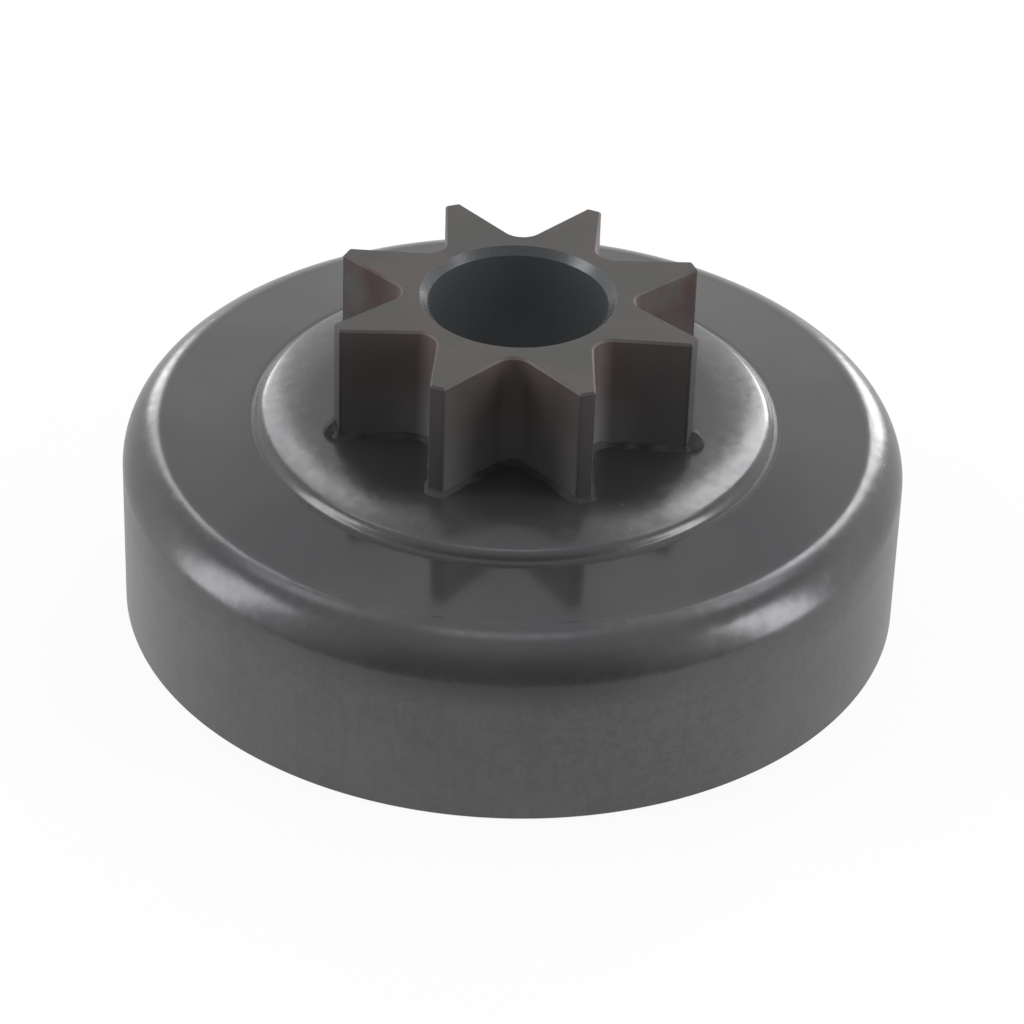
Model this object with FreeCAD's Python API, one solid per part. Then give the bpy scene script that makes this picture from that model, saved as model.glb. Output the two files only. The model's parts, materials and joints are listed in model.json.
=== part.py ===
"""Chainsaw clutch drum with a spur sprocket: a drawn steel cup, open side down, with a toothed star on it.

Millimetres, +Z up. The origin is on the axis, in the plane of the drum's open rim.
"""
import FreeCAD, Part
import math
import os

from FreeCAD import Vector

# Drum: a cup drawn from one sheet
drum_outer_radius = 36.0
drum_height = 18.4             # rim plane to the outer edge of the web
sheet_thickness = 2.3
corner_inside_radius = 1.8     # punch radius between wall and web
rim_edge_chamfer = 0.2         # broken edges of the open rim
web_slope = 3.5                # degrees, the web rises towards the boss

# Boss: the raised seat in the middle of the web
boss_rise = 2.15               # seat above the outer edge of the web
seat_margin = 0.3              # flat seat beyond the tooth tips
crown_radius = 19.0            # gentle round from the seat outwards
crown_width = 5.3
edge_radius = 1.5              # tight round outside the crown
foot_radius = 0.6              # hollow corner between edge and web

# Sprocket: a star of pointed teeth with a hub below it
tooth_count = 8
tooth_height = 11.2            # seat to the top face
tip_radius = 17.3              # axis to the middle of a tip land
tip_land_width = 1.4
root_radius = 10.6             # axis to the bottom of a tooth gap
root_rounding = 1.8
first_tip_angle = 22.5         # degrees from +X
top_edge_chamfer = 0.2         # broken edge round the top face
hub_wall = 2.1                 # metal between the bore and the hub's outside
hub_projection = 0.6           # hub below the inside of the boss
hub_edge_chamfer = 0.4
braze_gap = 0.05               # between the hub and the drum's hole

# Bore: takes the needle cage
bore_radius = 8.2
bore_top_chamfer = 0.7
bore_bottom_chamfer = 0.5

# Sizes and heights that follow from those above
drum_inner_radius = drum_outer_radius - sheet_thickness
corner_outside_radius = corner_inside_radius + sheet_thickness
web_normal = 90 - web_slope
seat_radius = tip_radius + seat_margin
seat_height = drum_height + boss_rise
boss_inside_height = seat_height - sheet_thickness
hub_radius = bore_radius + hub_wall
hub_hole_radius = hub_radius + braze_gap
hub_bottom = boss_inside_height - hub_projection
star_top = seat_height + tooth_height

AXIS = Vector(0, 0, 1)
ORIGIN = Vector(0, 0, 0)
CLOSE_ENOUGH = 1e-6


def section_point(radius, height):
    """Point of a turned section, in the XZ plane."""
    return Vector(radius, 0, height)


def section_step(length, angle):
    """Step across a turned section, at an angle in degrees from +X towards +Z."""
    turn = math.radians(angle)
    return section_point(length * math.cos(turn), length * math.sin(turn))


def section_arc(centre, radius, start, end):
    """Arc of a turned section about a centre, between angles in degrees from +X towards +Z."""
    return Part.Arc(*[centre + section_step(radius, a) for a in (start, (start + end) / 2, end)]).toShape()


def straight(*points):
    """Straight edges through the points, in order."""
    return [Part.LineSegment(a, b).toShape() for a, b in zip(points, points[1:])]


def closed_face(edges):
    """Face inside the edges, in order, with a straight edge wherever one ends short of the next."""
    outline = []
    for edge, following in zip(edges, edges[1:] + edges[:1]):
        outline.append(edge)
        end = edge.valueAt(edge.LastParameter)
        start = following.valueAt(following.FirstParameter)
        if end.distanceToPoint(start) > CLOSE_ENOUGH:
            outline += straight(end, start)
    return Part.Face(Part.Wire(outline))


def turned(edges):
    """Solid of revolution of a closed section about the axis."""
    return closed_face(edges).revolve(ORIGIN, AXIS, 360)


def corner_centre():
    """Centre of the bend between wall and web, both sides of the sheet."""
    edge = section_point(drum_outer_radius - corner_outside_radius, drum_height)
    return edge - AXIS * section_step(corner_outside_radius, web_normal).z


def joggle():
    """Bend from the web up to the seat: centres of its hollow foot, tight edge and gentle crown, and two leans.

    Neighbouring arcs touch on the line through their centres. The first lean is that line's angle in degrees
    for foot and edge, the second for edge and crown.
    """
    crown = section_point(seat_radius, seat_height - crown_radius)
    crown_lean = math.degrees(math.acos(crown_width / crown_radius))
    edge = crown + section_step(crown_radius - edge_radius, crown_lean)
    reach = edge_radius + foot_radius
    climb = (corner_centre() - edge).dot(section_step(1, web_normal)) + corner_outside_radius + foot_radius
    edge_lean = math.degrees(math.asin(climb / reach)) - web_slope
    foot = edge + section_step(reach, edge_lean)
    return foot, edge, crown, edge_lean, crown_lean


def clutch_drum():
    """Cup drawn from sheet, turned from its section: rim, wall, corner, web, joggle, seat and hub hole."""
    outer_rim = straight(
        section_point(drum_outer_radius - rim_edge_chamfer, 0),
        section_point(drum_outer_radius, rim_edge_chamfer),
    )
    inner_rim = straight(
        section_point(drum_inner_radius, rim_edge_chamfer),
        section_point(drum_inner_radius + rim_edge_chamfer, 0),
    )
    corner = corner_centre()
    foot, edge, crown, edge_lean, crown_lean = joggle()
    outside = outer_rim + [
        section_arc(corner, corner_outside_radius, 0, web_normal),
        section_arc(foot, foot_radius, 180 + web_normal, 180 + edge_lean),
        section_arc(edge, edge_radius, edge_lean, crown_lean),
        section_arc(crown, crown_radius, crown_lean, 90),
    ]
    hub_hole = straight(
        section_point(hub_hole_radius, seat_height),
        section_point(hub_hole_radius, boss_inside_height),
    )
    inside = straight(
        section_point(crown.x, boss_inside_height),
        foot - section_step(foot_radius + sheet_thickness, web_normal),
    )
    inside.append(section_arc(corner, corner_inside_radius, web_normal, 0))
    return turned(outside + hub_hole + inside + inner_rim)


def star_outline():
    """Star of straight-flanked teeth: each gap is two flanks tangent to a round root, then a tip land."""
    pitch = 360 / tooth_count
    half_pitch = math.radians(pitch / 2)
    half_land = tip_land_width / 2

    # One gap, about its own middle line along +X: where a flank leaves its tip and touches the root arc
    tip_x = tip_radius * math.cos(half_pitch) + half_land * math.sin(half_pitch)
    tip_y = tip_radius * math.sin(half_pitch) - half_land * math.cos(half_pitch)
    centre_x = root_radius + root_rounding
    reach = math.hypot(tip_x - centre_x, tip_y)
    touch = math.atan2(tip_y, tip_x - centre_x) + math.acos(root_rounding / reach)
    touch_x = centre_x + root_rounding * math.cos(touch)
    touch_y = root_rounding * math.sin(touch)

    touch_before = Vector(touch_x, -touch_y, 0)
    touch_after = Vector(touch_x, touch_y, 0)
    gap = straight(Vector(tip_x, -tip_y, 0), touch_before)
    gap.append(Part.Arc(touch_before, Vector(root_radius, 0, 0), touch_after).toShape())
    gap += straight(touch_after, Vector(tip_x, tip_y, 0))

    edges = []
    for index in range(tooth_count):
        for edge in gap:
            copy = edge.copy()
            copy.rotate(ORIGIN, AXIS, first_tip_angle + (index + 0.5) * pitch)
            edges.append(copy)
    return closed_face(edges)


def spur_sprocket():
    """Star on the seat, its hub down through the drum's hole, and the bore through both."""
    star = star_outline().extrude(AXIS * tooth_height)
    top_face = max(star.Faces, key=lambda face: face.CenterOfMass.z)
    star = star.makeChamfer(top_edge_chamfer, top_face.Edges)
    star.translate(AXIS * seat_height)
    hub = turned(straight(
        section_point(0, hub_bottom),
        section_point(hub_radius - hub_edge_chamfer, hub_bottom),
        section_point(hub_radius, hub_bottom + hub_edge_chamfer),
        section_point(hub_radius, seat_height),
        section_point(0, seat_height),
    ))
    bore = turned(straight(
        section_point(0, hub_bottom),
        section_point(bore_radius + bore_bottom_chamfer, hub_bottom),
        section_point(bore_radius, hub_bottom + bore_bottom_chamfer),
        section_point(bore_radius, star_top - bore_top_chamfer),
        section_point(bore_radius + bore_top_chamfer, star_top),
        section_point(0, star_top),
    ))
    return star.fuse(hub).cut(bore).removeSplitter()


os.makedirs("parts", exist_ok=True)
for name, shape in (("clutch_drum", clutch_drum()), ("spur_sprocket", spur_sprocket())):
    shape.exportStep("parts/" + name + ".step")
    print(name, "valid", shape.isValid(), "solids", len(shape.Solids), "volume", round(shape.Volume, 1))
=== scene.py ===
"""Looks of a chainsaw clutch drum with a spur sprocket: fine meshes, worn steel, studio light and camera.

Metres, +Z up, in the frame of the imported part: the origin is on the axis, in the plane of the open rim.
"""

import json
import math
from collections import namedtuple

import bpy
import numpy as np
from mathutils import Matrix, Vector


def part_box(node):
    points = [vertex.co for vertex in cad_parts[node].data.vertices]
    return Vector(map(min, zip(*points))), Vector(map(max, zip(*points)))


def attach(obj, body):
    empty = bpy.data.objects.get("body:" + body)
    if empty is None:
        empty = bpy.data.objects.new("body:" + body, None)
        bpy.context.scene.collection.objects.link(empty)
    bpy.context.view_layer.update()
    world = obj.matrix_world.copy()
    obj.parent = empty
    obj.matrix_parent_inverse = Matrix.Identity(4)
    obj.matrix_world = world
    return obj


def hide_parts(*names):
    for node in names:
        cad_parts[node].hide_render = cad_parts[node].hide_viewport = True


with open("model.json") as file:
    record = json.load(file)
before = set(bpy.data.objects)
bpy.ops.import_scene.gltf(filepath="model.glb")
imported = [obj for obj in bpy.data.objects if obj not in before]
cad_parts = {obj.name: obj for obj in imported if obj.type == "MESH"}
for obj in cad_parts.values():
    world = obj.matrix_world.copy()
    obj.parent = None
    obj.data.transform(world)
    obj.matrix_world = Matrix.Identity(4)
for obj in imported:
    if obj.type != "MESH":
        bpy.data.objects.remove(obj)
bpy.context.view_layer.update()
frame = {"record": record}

MM = 0.001

# Sizes that the frame gives
mounts = {mount["name"]: mount for mount in frame["record"]["mounts"]}
bore_radius = mounts["bearing_bore"]["dims"]["r_mm"] * MM
drum_inner_radius = mounts["clutch_cup"]["dims"]["r_mm"] * MM
drum_outer_radius = mounts["brake_band_wall"]["dims"]["r_mm"] * MM
seat_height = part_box("clutch_drum")[1][2]
hub_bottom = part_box("spur_sprocket")[0][2]
star_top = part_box("spur_sprocket")[1][2]

# Sizes of the star, its hub and bore
tooth_count = 8
tip_radius = 17.3 * MM
tip_land_width = 1.4 * MM
tip_edge = 0.15 * MM            # rounding of the upright edges of a tip
least_tip_edge = 0.02 * MM      # what is left of it on the chamfer's upper edge
root_radius = 10.6 * MM
root_rounding = 1.8 * MM
top_chamfer = 0.2 * MM          # broken edge round the top face
first_tip_angle = math.radians(22.5)
hub_wall = 2.1 * MM
hub_radius = bore_radius + hub_wall
hub_edge = 0.4 * MM
bore_top_chamfer = 0.7 * MM
bore_bottom_chamfer = 0.5 * MM

# Sizes of the drum's section
sheet_thickness = drum_outer_radius - drum_inner_radius
boss_rise = 2.15 * MM
web_height = seat_height - boss_rise     # at its outer edge
web_slope = 3.5                          # degrees, the web rises towards the boss
web_normal = 90 - web_slope
corner_inside_radius = 1.8 * MM
corner_outside_radius = corner_inside_radius + sheet_thickness
rim_edge = 0.2 * MM
seat_margin = 0.3 * MM          # flat seat beyond the tooth tips
seat_radius = tip_radius + seat_margin
crown_radius = 19.0 * MM        # gentle round from the seat outwards
crown_width = 5.3 * MM
edge_radius = 1.5 * MM          # tight round outside the crown
foot_radius = 0.6 * MM
braze_gap = 0.05 * MM           # between the hub and the drum's hole
hub_hole_radius = hub_radius + braze_gap
boss_inside_height = seat_height - sheet_thickness
wall_top = web_height - corner_outside_radius * math.cos(math.radians(web_slope))
corner_centre = np.array([drum_outer_radius - corner_outside_radius, wall_top])

# Sizes of the braze round the star's foot
braze_width = 0.45 * MM
braze_width_swing = 0.30        # share by which it swells and shrinks
braze_height = 0.55 * MM
braze_height_swing = 0.22
braze_bite = 0.03 * MM          # how far it runs into the steel
braze_hollow = 2.2              # power of the bead's section, 1 would be round
braze_waves = (11, 17, 26, 41, 63)
braze_seed = 4
drop_angles = (math.radians(201.5), math.radians(339.0))
drop_spread = math.radians(2.6)
drop_size = 0.75 * MM

# Points along the rounds and straights of the meshes
drum_turn_points = 512
corner_points = 40
inside_corner_points = 24
foot_points = 12
edge_points = 12
crown_points = 24
root_points = 14
flank_points = 24
tip_edge_points = 8
braze_points = 14

SHARP_ANGLE = math.radians(28)


# Meshes

def section_step(length, angle):
    """Step across a section as (radius, height), at an angle in degrees from outwards towards up."""
    turn = np.radians(angle)
    return length * np.stack([np.cos(turn), np.sin(turn)], axis=-1)


def arc(centre, radius, start, end, count):
    """Points of a section's arc as (radius, height) rows, between two angles as section_step takes them."""
    return centre + section_step(radius, np.linspace(start, end, count))


def joggle():
    """Bend from web to seat: centres of its foot, edge and crown, and two leans in degrees.

    Neighbouring arcs touch on the line through their centres. The first lean is that line's angle for foot
    and edge, the second for edge and crown. The foot's centre lies its own radius above the web's slope.
    """
    crown = np.array([seat_radius, seat_height - crown_radius])
    crown_lean = math.degrees(math.acos(crown_width / crown_radius))
    edge = crown + section_step(crown_radius - edge_radius, crown_lean)
    reach = edge_radius + foot_radius
    climb = (corner_centre - edge) @ section_step(1, web_normal) + corner_outside_radius + foot_radius
    edge_lean = math.degrees(math.asin(climb / reach)) - web_slope
    foot = edge + section_step(reach, edge_lean)
    return foot, edge, crown, edge_lean, crown_lean


def drum_section():
    """Closed section of the drum as (radius, height) rows: up the outside, in over the boss, back inside."""
    foot, edge, crown, edge_lean, crown_lean = joggle()
    return np.concatenate([
        [(drum_outer_radius - rim_edge, 0), (drum_outer_radius, rim_edge)],
        arc(corner_centre, corner_outside_radius, 0, web_normal, corner_points),
        arc(foot, foot_radius, 180 + web_normal, 180 + edge_lean, foot_points),
        arc(edge, edge_radius, edge_lean, crown_lean, edge_points)[1:],
        arc(crown, crown_radius, crown_lean, 90, crown_points)[1:],
        [(hub_hole_radius, seat_height), (hub_hole_radius, boss_inside_height)],
        [(crown[0], boss_inside_height)],
        [foot - section_step(foot_radius + sheet_thickness, web_normal)],
        arc(corner_centre, corner_inside_radius, web_normal, 0, inside_corner_points),
        [(drum_inner_radius, rim_edge), (drum_inner_radius + rim_edge, 0)],
    ])


def revolved(section, count):
    """Grid of a section carried once round the axis: x is radius times cos(turn), y is radius times sin."""
    turn = np.linspace(0, 2 * np.pi, count, endpoint=False)
    radius = section[:, :1]
    height = section[:, 1:]
    return np.stack([radius * np.cos(turn), radius * np.sin(turn), height + 0 * turn], axis=-1)


def star_loop(inset):
    """Outline of the star moved inwards by inset, as complex points x + iy, counter-clockwise.

    Half a gap is worked out about its own middle line: a round root, a flank that touches it, a rounded
    tip edge and half a tip land. Its mirror image makes the gap, and turned copies make the star.
    """
    half_pitch = math.pi / tooth_count
    tooth = np.exp(1j * half_pitch)
    centre = root_radius + root_rounding
    tip = tooth * (tip_radius - 0.5j * tip_land_width)
    touch = np.angle(tip - centre) + math.acos(root_rounding / abs(tip - centre))
    flank = -1j * np.exp(1j * touch)

    root = centre + (root_rounding + inset) * np.exp(1j * np.linspace(math.pi, touch, root_points))
    along = (tip_radius - inset - (root[-1] / tooth).real) / (flank / tooth).real
    sharp_tip = root[-1] + along * flank
    rounding = max(tip_edge - inset, least_tip_edge)
    half_angle = 0.5 * np.angle(-flank / (1j * tooth))
    middle = sharp_tip + rounding / math.sin(half_angle) * 1j * tooth * np.exp(1j * half_angle)
    round_tip = middle + rounding * np.exp(1j * np.linspace(touch - math.pi, half_pitch, tip_edge_points))
    half_gap = np.concatenate([
        root,
        root[-1] + (round_tip[0] - root[-1]) * np.linspace(0, 1, flank_points)[1:-1],
        round_tip,
        [tooth * (tip_radius - inset)],
    ])
    gap = np.concatenate([np.conj(half_gap[:0:-1]), half_gap[:-1]])
    middles = first_tip_angle + half_pitch * (2 * np.arange(tooth_count) + 1)
    return (np.exp(1j * middles)[:, None] * gap).ravel()


def star_grid():
    """Grid of the sprocket: loops up the flanks, over the top chamfer, down the bore and round the hub."""
    outline = star_loop(0)
    circle = np.exp(1j * np.angle(outline))
    loops = [
        (outline, seat_height),
        (outline, star_top - top_chamfer),
        (star_loop(top_chamfer), star_top),
        (circle * (bore_radius + bore_top_chamfer), star_top),
        (circle * bore_radius, star_top - bore_top_chamfer),
        (circle * bore_radius, hub_bottom + bore_bottom_chamfer),
        (circle * (bore_radius + bore_bottom_chamfer), hub_bottom),
        (circle * (hub_radius - hub_edge), hub_bottom),
        (circle * hub_radius, hub_bottom + hub_edge),
        (circle * hub_radius, seat_height),
    ]
    return np.stack([
        np.stack([loop.real, loop.imag, np.full(loop.shape, height)], axis=-1) for loop, height in loops
    ])


def braze_grid():
    """Grid of the braze in the corner between star and seat: a bead's section carried along the outline.

    The section runs from the seat to the flank as a superellipse: distance goes as width times a power of
    sin, height as a power of cos. A high power makes it hollow and a power of one round. Width and height
    swell and shrink by a sum of sine waves along the way, and two tips carry a round drop.
    """
    outline = star_loop(0)
    step = np.roll(outline, -1) - np.roll(outline, 1)
    outward = -1j * step / np.abs(step)
    way = 2 * np.pi * np.cumsum(np.abs(step)) / np.abs(step).sum()
    phases = np.random.default_rng(braze_seed).uniform(0, 2 * np.pi, (2, len(braze_waves)))
    lumps = [sum(np.sin(count * way + phase) for count, phase in zip(braze_waves, row)) for row in phases]
    lumps = np.array(lumps) / math.sqrt(len(braze_waves))
    aside = [np.angle(outline * np.exp(-1j * angle)) for angle in drop_angles]
    drop = sum(np.exp(-(angle / drop_spread) ** 2) for angle in aside)
    width = braze_width * (1 + braze_width_swing * lumps[0]) + drop_size * drop
    height = braze_height * (1 + braze_height_swing * lumps[1]) + drop_size * drop
    power = braze_hollow - (braze_hollow - 1) * np.clip(drop, 0, 1)
    angles = np.linspace(math.pi / 2, 0, braze_points)[:, None]
    inner_edge = np.zeros((1, len(outline)))
    distance = np.concatenate([width * np.sin(angles) ** power, inner_edge]) - braze_bite
    rise = np.concatenate([height * np.cos(angles) ** power, inner_edge]) - braze_bite
    points = outline + outward * distance
    return np.stack([points.real, points.imag, seat_height + rise], axis=-1)


def closed_grid(name, points):
    """Object from a grid of points (rows, columns, xyz) whose last row and column join its first."""
    rows, columns = points.shape[:2]
    index = np.arange(rows * columns).reshape(rows, columns)
    across = np.roll(index, -1, axis=1)
    quads = np.stack([index, across, np.roll(across, -1, axis=0), np.roll(index, -1, axis=0)], axis=-1)
    mesh = bpy.data.meshes.new(name)
    mesh.from_pydata(points.reshape(-1, 3), [], quads.reshape(-1, 4))
    mesh.shade_smooth()
    mesh.set_sharp_from_angle(angle=SHARP_ANGLE)
    piece = bpy.data.objects.new(name, mesh)
    bpy.context.scene.collection.objects.link(piece)
    return piece


# Shaders

class Signal:
    """Output of a shader node. Arithmetic on it adds Math nodes to the same tree."""

    def __init__(self, shader, socket):
        self.shader = shader
        self.socket = socket

    def math(self, operation, *operands):
        """Adds a Math node with these operands, in order."""
        return self.shader.node("ShaderNodeMath", {"operation": operation}, dict(enumerate(operands)))

    def __add__(self, other):
        return self.math("ADD", self, other)

    def __radd__(self, other):
        return self.math("ADD", other, self)

    def __sub__(self, other):
        return self.math("SUBTRACT", self, other)

    def __rsub__(self, other):
        return self.math("SUBTRACT", other, self)

    def __mul__(self, other):
        return self.math("MULTIPLY", self, other)

    def __rmul__(self, other):
        return self.math("MULTIPLY", other, self)

    def __truediv__(self, other):
        return self.math("DIVIDE", self, other)

    def __rtruediv__(self, other):
        return self.math("DIVIDE", other, self)

    def __pow__(self, other):
        return self.math("POWER", self, other)

    def step(self, low, high):
        """Smooth step from 0 at low to 1 at high. It falls where low is above high."""
        start, end = (0.0, 1.0) if low < high else (1.0, 0.0)
        return self.shader.node("ShaderNodeMapRange", {"interpolation_type": "SMOOTHSTEP"}, {
            "Value": self,
            "From Min": min(low, high),
            "From Max": max(low, high),
            "To Min": start,
            "To Max": end,
        })


class Shader:
    """Node tree of a material or world, built node by node."""

    def __init__(self, owner):
        owner.use_nodes = True
        self.tree = owner.node_tree
        self.tree.nodes.clear()

    def node(self, kind, settings, sockets, output=0):
        """Adds a node: its settings first, then each socket's value or link. Returns one of its outputs."""
        node = self.tree.nodes.new(kind)
        for name, value in settings.items():
            setattr(node, name, value)
        for name, value in sockets.items():
            if isinstance(value, Signal):
                self.tree.links.new(value.socket, node.inputs[name])
            else:
                node.inputs[name].default_value = value
        return Signal(self, node.outputs[output]) if node.outputs else None

    def split(self, vector):
        """The x, y and z of a vector."""
        return [self.node("ShaderNodeSeparateXYZ", {}, {"Vector": vector}, axis) for axis in range(3)]

    def join(self, x, y, z):
        """Vector from its x, y and z."""
        return self.node("ShaderNodeCombineXYZ", {}, {"X": x, "Y": y, "Z": z})

    def noise(self, vector, scale, detail=2.0):
        """Noise about 0.5 at a point, with scale features to the unit."""
        return self.node("ShaderNodeTexNoise", {}, {"Vector": vector, "Scale": scale, "Detail": detail})

    def blend(self, share, first, second):
        """Colour between two, by share."""
        sockets = {"Factor": share, 6: first, 7: second}
        return self.node("ShaderNodeMix", {"data_type": "RGBA"}, sockets, 2)


def colour(red, green, blue):
    """Linear colour as a socket takes it."""
    return (red, green, blue, 1.0)


def grey(level):
    """Linear grey as a socket takes it."""
    return colour(level, level, level)


def drum_steel():
    """Drawn steel under a thin dark oxide: smooth web, wavy bends, duller wall with draw lines and nicks,
    painted shade in the crease at the boss's foot, and a darker seat round the star.

    Its relief also leans the top of the wall a little inwards, so that the bend runs out softly below.
    """
    pale_oxide = colour(0.099, 0.099, 0.101)
    dark_oxide = colour(0.084, 0.085, 0.089)
    rubbed_dents = colour(0.128, 0.128, 0.130)
    rubbed_grain = colour(0.130, 0.130, 0.132)
    painted_crease_shade = grey(0.030)
    darker_seat = colour(0.082, 0.082, 0.084)
    line_shade = colour(0.076, 0.076, 0.079)
    nick_shade = grey(0.045)
    run_out_length = 3.3 * MM
    run_out_depth = 1.0 * MM

    material = bpy.data.materials.new("drum_steel")
    shader = Shader(material)
    place = shader.node("ShaderNodeTexCoord", {}, {}, "Object")
    x, y, z = shader.split(place)
    radius = (x * x + y * y) ** 0.5
    rings = shader.noise(shader.join(x / radius, y / radius, (z - radius) * 900), 2.0)
    draw_lines = shader.noise(shader.join(x * 1800, y * 1800, z * 90), 1.0)
    nicks = shader.noise(shader.join(x * 500, y * 500, z * 1100), 1.0, 1.0).step(0.72, 0.78)
    grain = shader.noise(place, 2600.0)
    stain = shader.noise(place, 75.0, 4.0)
    waves = shader.noise(place, 210.0)
    dents = shader.noise(place, 900.0)

    # Where each finish and the painted shade lie
    web_edge = corner_centre[0]
    foot = joggle()[0]
    boss_radius = foot[0]
    wall = z.step(wall_top + 0.5 * corner_outside_radius, wall_top - 0.8 * corner_outside_radius)
    upper = z.step(wall_top - corner_outside_radius, wall_top)
    bend = (1 - wall) * upper * radius.step(web_edge, web_edge + 1.0 * MM)
    boss = radius.step(boss_radius, boss_radius - 0.3 * MM)
    shoulder = boss * radius.step(seat_radius, seat_radius + 1.5 * MM)
    seat = radius.step(seat_radius + 1.5 * MM, seat_radius - 0.5 * MM) * z.step(web_height, seat_height)
    under = (z - boss * (1.4 * MM)).step(web_height - 0.8 * MM, web_height - 1.2 * MM)
    cup = radius.step(drum_inner_radius + 0.3 * MM, drum_inner_radius + 0.1 * MM) * under
    low = wall * z.step(6 * MM, 2 * MM)
    outside_foot = radius.step(boss_radius - 0.5 * MM, boss_radius - 0.1 * MM)
    inside_foot = radius.step(boss_radius + 0.5 * MM, boss_radius + 0.1 * MM)
    foot_crease = outside_foot * inside_foot * (1 - under)
    run_out = z.step(wall_top - run_out_length, wall_top + corner_outside_radius)

    base = shader.blend(stain.step(0.35, 0.65), pale_oxide, dark_oxide)
    base = shader.blend(wall * dents.step(0.35, 0.65) * 0.25, base, rubbed_dents)
    base = shader.blend(wall * grain.step(0.35, 0.65) * 0.25, base, rubbed_grain)
    # Painted shade: the crease at the boss's foot is painted dark, and it is also made rougher.
    base = shader.blend(foot_crease * 0.7, base, painted_crease_shade)
    # The seat round the star's foot is made darker.
    base = shader.blend(seat * 0.5, base, darker_seat)
    base = shader.blend(wall * draw_lines.step(0.35, 0.75) * 0.2, base, line_shade)
    base = shader.blend(low * nicks * 0.35, base, nick_shade)
    roughness = 0.08 + 0.05 * stain + 0.03 * rings + (bend + shoulder) * (0.02 + 0.2 * dents)
    roughness = roughness + foot_crease * 0.3 + seat * 0.12 + (wall + cup) * (0.24 + 0.08 * grain)
    relief = rings * (0.001 * MM) + waves * (0.012 * MM) - run_out * run_out_depth
    relief = relief + (bend + shoulder) * (waves * (0.045 * MM) + dents * (0.012 * MM))
    relief = relief + wall * (grain * (0.003 * MM) + draw_lines * (0.0015 * MM)) - low * nicks * (0.008 * MM)
    normal = shader.node("ShaderNodeBump", {}, {"Strength": 1.0, "Distance": 1.0, "Height": relief})
    surface = shader.node("ShaderNodeBsdfPrincipled", {}, {
        "Base Color": base, "Metallic": 0.58, "Roughness": roughness, "Normal": normal,
    })
    shader.node("ShaderNodeOutputMaterial", {}, {"Surface": surface})
    return material


def sprocket_steel():
    """Hardened steel: dull ground top, dark flanks with tool marks, a dark bore, and roots and lower flanks
    painted paler as painted light.

    Red oxide lies in patches on the flanks, and most of it at the sides, from the middle backwards.
    """
    dull_flank = colour(0.092, 0.086, 0.083)
    red_oxide = colour(0.066, 0.035, 0.035)
    painted_light_low_flank = colour(0.114, 0.109, 0.111)
    dark_land = colour(0.060, 0.056, 0.057)
    painted_light_high_root = colour(0.122, 0.098, 0.096)
    painted_light_low_root = colour(0.172, 0.168, 0.172)
    dark_bore = colour(0.080, 0.085, 0.090)
    ground_steel = colour(0.079, 0.072, 0.068)
    stained_steel = colour(0.068, 0.067, 0.065)
    cut_chamfer = colour(0.096, 0.099, 0.103)

    material = bpy.data.materials.new("sprocket_steel")
    shader = Shader(material)
    place = shader.node("ShaderNodeTexCoord", {}, {}, "Object")
    x, y, z = shader.split(place)
    radius = (x * x + y * y) ** 0.5
    upright = shader.noise(shader.join(x * 1500, y * 1500, z * 60), 1.0)
    grain = shader.noise(place, 2200.0, 3.0)
    stain = shader.noise(place, 160.0, 3.0)

    # Where each finish and the painted light lie
    mouth_radius = bore_radius + bore_top_chamfer
    mouth_bottom = star_top - bore_top_chamfer
    top = z.step(star_top - 0.03 * MM, star_top - 0.01 * MM)
    mouth = radius.step(mouth_radius + 0.1 * MM, mouth_radius)
    chamfer = mouth * z.step(mouth_bottom - 0.05 * MM, mouth_bottom)
    bore = radius.step(bore_radius + 0.1 * MM, bore_radius + 0.05 * MM)
    land = radius.step(tip_radius - 0.35 * MM, tip_radius - 0.1 * MM)
    root = radius.step(tip_radius - 2 * MM, root_radius)
    low = z.step(star_top - 3 * MM, seat_height)
    side = (x * x).step((9 * MM) ** 2, (13 * MM) ** 2)
    back = y.step(-4 * MM, 0)
    oxide = stain.step(0.65, 0.35) * (0.3 + 0.7 * side * back)

    flank = shader.blend(oxide, dull_flank, red_oxide)
    # Painted light: the lower flanks are painted paler, to lift their shade.
    flank = shader.blend(low, flank, painted_light_low_flank)
    flank = shader.blend(land * 0.8, flank, dark_land)
    # Painted light: the roots of the gaps are painted paler, palest low down, and less at the sides, where
    # the side lamps light them.
    flank = shader.blend(root * (1 - 0.7 * side), flank, shader.blend(low, painted_light_high_root, painted_light_low_root))
    base = shader.blend(bore, flank, dark_bore)
    base = shader.blend(top, base, shader.blend(stain.step(0.4, 0.6), ground_steel, stained_steel))
    base = shader.blend(chamfer, base, cut_chamfer)
    metal = 0.2 + 0.5 * top + 0.4 * chamfer * (1 - top)
    roughness = 0.42 + 0.12 * grain + 0.06 * top - 0.2 * chamfer
    relief = grain * 0.5 + upright * (1 - top) * 0.8
    normal = shader.node("ShaderNodeBump", {}, {"Strength": 0.2, "Distance": 0.05 * MM, "Height": relief})
    surface = shader.node("ShaderNodeBsdfPrincipled", {}, {
        "Base Color": base, "Metallic": metal, "Roughness": roughness, "Normal": normal,
        "Specular IOR Level": 0.3,
    })
    shader.node("ShaderNodeOutputMaterial", {}, {"Surface": surface})
    return material


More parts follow.
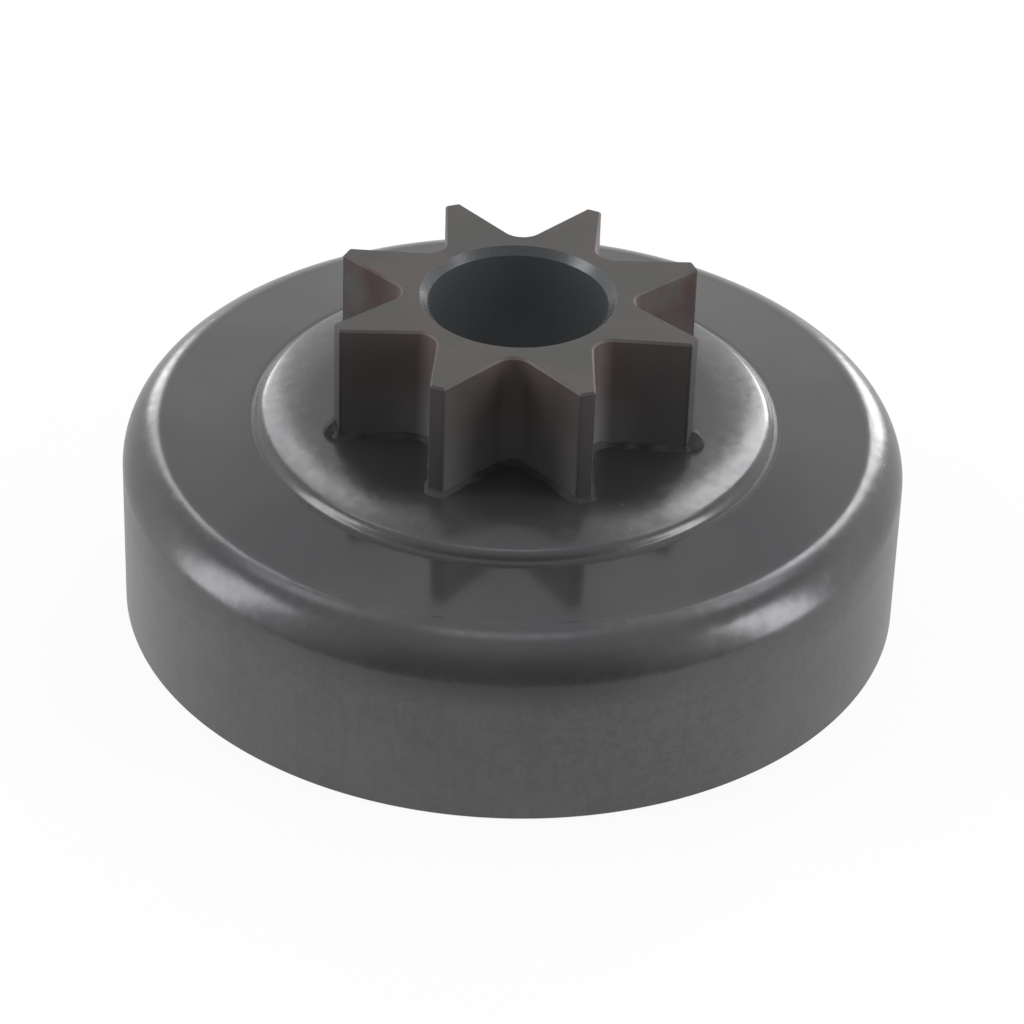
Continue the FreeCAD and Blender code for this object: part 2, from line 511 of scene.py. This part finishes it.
def braze_filler():
    """Dark, uneven braze with a skin of burnt flux."""
    burnt_flux = colour(0.022, 0.021, 0.022)
    bare_filler = colour(0.040, 0.038, 0.038)

    material = bpy.data.materials.new("braze_filler")
    shader = Shader(material)
    place = shader.node("ShaderNodeTexCoord", {}, {}, "Object")
    lumps = shader.noise(place, 900.0, 3.0)
    base = shader.blend(lumps.step(0.35, 0.7), burnt_flux, bare_filler)
    normal = shader.node("ShaderNodeBump", {}, {"Strength": 0.4, "Distance": 0.1 * MM, "Height": lumps})
    surface = shader.node("ShaderNodeBsdfPrincipled", {}, {
        "Base Color": base, "Metallic": 0.0, "Roughness": 0.55 + 0.3 * lumps, "Normal": normal,
    })
    shader.node("ShaderNodeOutputMaterial", {}, {"Surface": surface})
    return material


# The object's pieces

drum = closed_grid("clutch_drum_surface", revolved(drum_section(), drum_turn_points))
drum.data.materials.append(drum_steel())
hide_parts("clutch_drum")
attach(drum, "root")

star = closed_grid("spur_sprocket_surface", star_grid())
star.data.materials.append(sprocket_steel())
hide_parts("spur_sprocket")
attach(star, "root")

braze = closed_grid("braze_bead", braze_grid())
braze.data.materials.append(braze_filler())
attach(braze, "root")


# Floor

floor_half = 3.0
floor_height = -0.02 * MM
floor_white_from = -66 * MM     # just in front of the picture's lower edge
floor_grey_until = -102 * MM
floor_glow = 0.93               # the rest of its white is lit, and takes a shadow


def white_floor():
    """Pale floor, white where a camera, a gloss or glass looks at it, with a share left for its shadow.

    In front of the picture's lower edge it falls off to grey, as it would with the light behind the object.
    """
    near_grey = grey(0.20)

    material = bpy.data.materials.new("white_floor")
    shader = Shader(material)
    y = shader.split(shader.node("ShaderNodeTexCoord", {}, {}, "Object"))[1]
    lit = y.step(floor_grey_until, floor_white_from)
    seen = 0.0
    for ray in ("Is Camera Ray", "Is Glossy Ray", "Is Transmission Ray"):
        seen = seen + shader.node("ShaderNodeLightPath", {}, {}, ray)
    shade = shader.blend(lit, near_grey, grey(0.8))
    glow = shader.blend(lit, near_grey, grey(1.0))
    pale = shader.node("ShaderNodeBsdfDiffuse", {}, {"Color": shade})
    white = shader.node("ShaderNodeEmission", {}, {"Color": glow, "Strength": 1.0})
    surface = shader.node("ShaderNodeMixShader", {}, {0: seen * floor_glow, 1: pale, 2: white})
    shader.node("ShaderNodeOutputMaterial", {}, {"Surface": surface})
    return material


floor_signs = ((-1, -1), (1, -1), (1, 1), (-1, 1))
floor_corners = [(x * floor_half, y * floor_half, floor_height) for x, y in floor_signs]
floor_mesh = bpy.data.meshes.new("floor")
floor_mesh.from_pydata(floor_corners, [], [(0, 1, 2, 3)])
floor_mesh.materials.append(white_floor())
floor = bpy.data.objects.new("floor", floor_mesh)
bpy.context.scene.collection.objects.link(floor)


# Light

def studio_world():
    """Room with pale walls, a greyer ceiling and a dark side round the camera."""
    walls = grey(1.0)
    ceiling = grey(0.6)
    camera_side = grey(0.14)

    world = bpy.data.worlds.new("studio")
    shader = Shader(world)
    y, z = shader.split(shader.node("ShaderNodeTexCoord", {}, {}, "Generated"))[1:]
    room = shader.blend(z.step(0.45, 0.72), walls, ceiling)
    room = shader.blend(y.step(-0.9, -0.25), camera_side, room)
    background = shader.node("ShaderNodeBackground", {}, {"Color": room, "Strength": 1.0})
    shader.node("ShaderNodeOutputWorld", {}, {"Surface": background})
    return world


bpy.context.scene.world = studio_world()

# Azimuth in degrees from +X towards +Y, elevation in degrees, width and height in metres
Softbox = namedtuple("Softbox", "name azimuth elevation width height radiance")
softbox_distance = 1.0
softboxes = [
    Softbox("strip_left", 116, 32, 0.16, 0.75, 3.6),
    Softbox("strip_right", 63, 32, 0.20, 0.75, 5.8),
    Softbox("low_left", 115, 15, 0.20, 0.20, 4.0),
    Softbox("low_right", 65, 12, 0.25, 0.25, 6.0),
    Softbox("high_left", 141, 60, 0.25, 0.20, 2.0),
    Softbox("high_right", 40, 57, 0.30, 0.20, 2.5),
    Softbox("side_left", 184, 22, 0.36, 0.90, 4.6),
    Softbox("side_right", 350, 18, 0.30, 0.90, 6.0),
    Softbox("overhead", 90, 84, 0.30, 0.22, 1.2),
]


def add_softbox(box):
    """Rectangular light facing the object. Its power is pi times its area times its radiance."""
    light = bpy.data.lights.new(box.name, "AREA")
    light.shape = "RECTANGLE"
    light.size = box.width
    light.size_y = box.height
    light.energy = math.pi * box.width * box.height * box.radiance
    lamp = bpy.data.objects.new(box.name, light)
    azimuth = math.radians(box.azimuth)
    elevation = math.radians(box.elevation)
    away = Vector((
        math.cos(elevation) * math.cos(azimuth),
        math.cos(elevation) * math.sin(azimuth),
        math.sin(elevation),
    ))
    lamp.location = away * softbox_distance
    lamp.rotation_euler = away.to_track_quat("Z", "Y").to_euler()
    bpy.context.scene.collection.objects.link(lamp)


for softbox in softboxes:
    add_softbox(softbox)


# Camera: found by fitting the drum's outline to the picture

picture_size = 1024
view_elevation = math.radians(35.1)
view_distance = 0.400
view_azimuth = math.radians(0.8)
view_roll = math.radians(1.85)
focal_pixels = 4234.0
origin_column = 509.0
origin_row = 583.2


def add_camera():
    """Camera on the -Y side, rolled, and aimed so that the origin falls on its row and column."""
    data = bpy.data.cameras.new("camera")
    data.sensor_width = 36.0
    data.lens = focal_pixels * data.sensor_width / picture_size
    data.clip_start = 0.01
    camera = bpy.data.objects.new("camera", data)
    turn = Matrix.Rotation(view_azimuth, 3, "Z")
    right = turn @ Vector((1, 0, 0))
    up = turn @ Vector((0, math.sin(view_elevation), math.cos(view_elevation)))
    forward = up.cross(right)
    camera.location = -forward * view_distance
    rolled_right = right * math.cos(view_roll) + up * math.sin(view_roll)
    rolled_up = up * math.cos(view_roll) - right * math.sin(view_roll)
    aside = (picture_size / 2 - origin_column) / focal_pixels
    above = (origin_row - picture_size / 2) / focal_pixels
    aim = (forward + rolled_right * aside + rolled_up * above).normalized()
    side = aim.cross(rolled_up).normalized()
    camera.rotation_euler = Matrix((side, side.cross(aim), -aim)).transposed().to_euler()
    bpy.context.scene.collection.objects.link(camera)
    bpy.context.scene.camera = camera


add_camera()
bpy.context.scene.view_settings.view_transform = "Standard"
